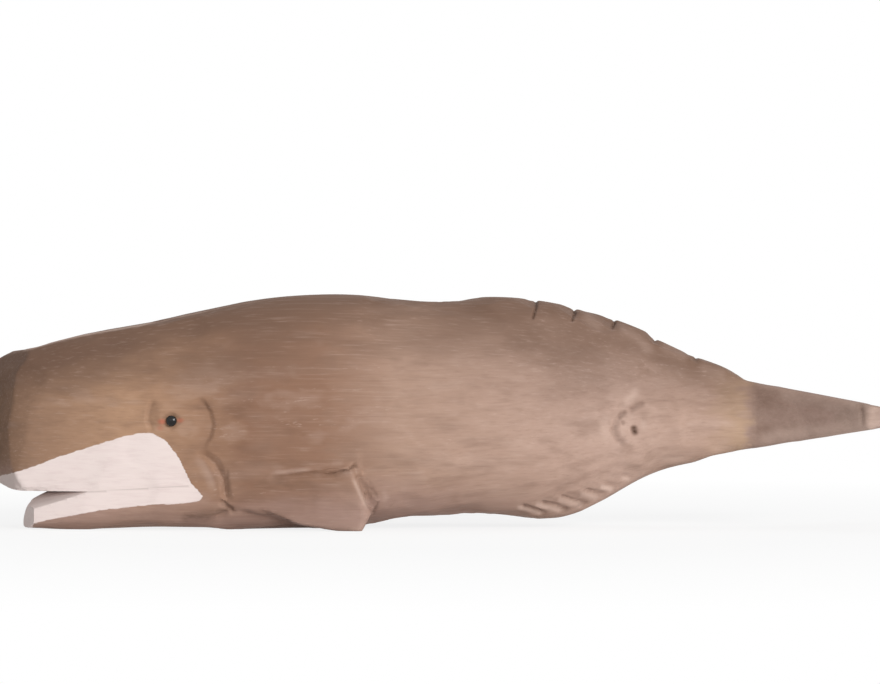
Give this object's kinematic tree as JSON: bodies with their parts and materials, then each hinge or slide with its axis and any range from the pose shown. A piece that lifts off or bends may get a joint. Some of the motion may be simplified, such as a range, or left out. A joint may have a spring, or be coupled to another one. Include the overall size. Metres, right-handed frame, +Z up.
{
  "type": "carved whale figurine",
  "caption": "Hand-carved wooden sperm whale with a glued-on jaw and tail fluke, bead eyes and a white painted mouth.",
  "frame": {"origin": "on the table, under the centre of the figure's box", "axes": "+X from the snout to the tail, +Z up; the whale's left side faces -Y"},
  "size_m": [0.21, 0.0496, 0.0549],
  "materials": {
    "washed_wood": "matte",
    "peg_wood": "matte",
    "knot_wood": "matte",
    "black_bead": "gloss",
    "white_paint": "matte"
  },
  "bodies": {
    "root": {"body": "washed_wood", "lower_jaw": "washed_wood", "jaw_pegs": "peg_wood", "tail_fluke": "washed_wood", "fluke_dowels": "peg_wood", "left_eye": "black_bead", "right_eye": "black_bead", "lip_paint": "white_paint", "jaw_paint": "white_paint", "wood_knot": "knot_wood"}
  },
  "joints": []
}
